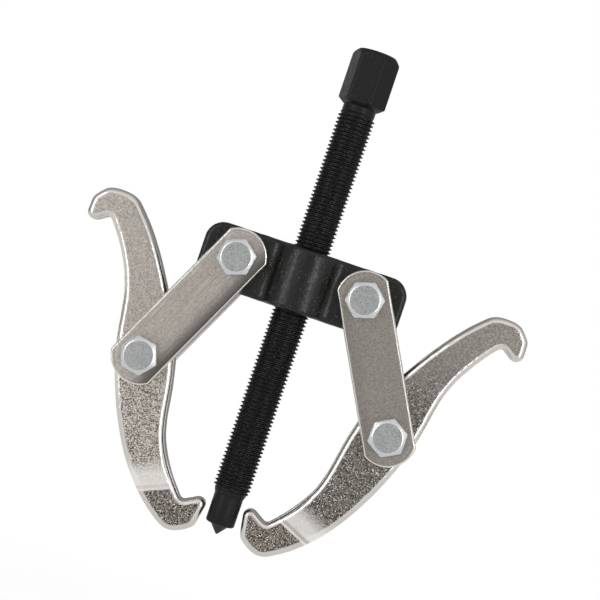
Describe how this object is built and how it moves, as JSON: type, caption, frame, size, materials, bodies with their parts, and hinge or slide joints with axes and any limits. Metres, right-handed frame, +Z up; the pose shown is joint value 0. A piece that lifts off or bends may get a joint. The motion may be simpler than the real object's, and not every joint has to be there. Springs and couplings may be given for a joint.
{
  "type": "gear puller",
  "caption": "Two-jaw reversible gear puller with a black yoke, forcing screw, strap links and forged hooked jaws.",
  "frame": {"origin": "tip of the centre pin, where the puller bears on the shaft, with the screw as pictured", "axes": "+Z up the forcing screw to its hexagon head, +X along the yoke, -Y towards the bolt heads"},
  "size_m": [0.17, 0.0317, 0.1918],
  "materials": {
    "black_oxide": "black oxide on forged steel, satin",
    "black_oxide_screw": "black oxide on turned steel, oiled, satin",
    "hardened_steel": "dark hardened steel, ground",
    "forged_nickel": "nickel plate over a blasted forging, bright on the rounded edges",
    "nickel_strap": "satin nickel plate with faint lengthwise brush lines",
    "zinc_plate": "bright zinc plate, clear passivated",
    "nylon": "nylon, translucent"
  },
  "bodies": {
    "yoke": {"yoke": "black_oxide"},
    "left_links": {"left_front_link": "nickel_strap", "left_rear_link": "nickel_strap", "left_yoke_bolt": "zinc_plate", "left_yoke_nut": "zinc_plate", "left_yoke_nut_insert": "nylon", "left_jaw_bolt": "zinc_plate", "left_jaw_nut": "zinc_plate", "left_jaw_nut_insert": "nylon"},
    "right_links": {"right_front_link": "nickel_strap", "right_rear_link": "nickel_strap", "right_yoke_bolt": "zinc_plate", "right_yoke_nut": "zinc_plate", "right_yoke_nut_insert": "nylon", "right_jaw_bolt": "zinc_plate", "right_jaw_nut": "zinc_plate", "right_jaw_nut_insert": "nylon"},
    "left_jaw": {"left_jaw": "forged_nickel"},
    "right_jaw": {"right_jaw": "forged_nickel"},
    "centre_point": {"centre_pin": "hardened_steel"},
    "screw": {"forcing_screw": "black_oxide_screw"}
  },
  "joints": [
    {"name": "left_link_swing", "type": "hinge", "parent": "yoke", "child": "left_links", "pos_m": [-0.0247, 0, 0.0995], "axis": [0, 1, 0], "range_deg": [0, 65]},
    {"name": "right_link_swing", "type": "hinge", "parent": "yoke", "child": "right_links", "pos_m": [0.0247, 0, 0.0995], "axis": [0, -1, 0], "range_deg": [0, 62]},
    {"name": "left_jaw_swing", "type": "hinge", "parent": "left_links", "child": "left_jaw", "pos_m": [-0.04704, 0, 0.0541], "axis": [0, 1, 0], "range_deg": [0, 18]},
    {"name": "right_jaw_swing", "type": "hinge", "parent": "right_links", "child": "right_jaw", "pos_m": [0.04846, 0, 0.05482], "axis": [0, -1, 0], "range_deg": [0, 18]},
    {"name": "screw_travel", "type": "slide", "parent": "yoke", "child": "centre_point", "axis": [0, 0, 1], "range_m": [-0.055, 0.07]},
    {"name": "screw_turn", "type": "hinge", "parent": "centre_point", "child": "screw", "pos_m": [0, 0, 0], "axis": [0, 0, 1], "range_deg": [-13200.5, 16800.5]}
  ],
  "couplings": [
    {"joint": "screw_turn", "follows": "screw_travel", "rad_per_m": 4188.8}
  ]
}
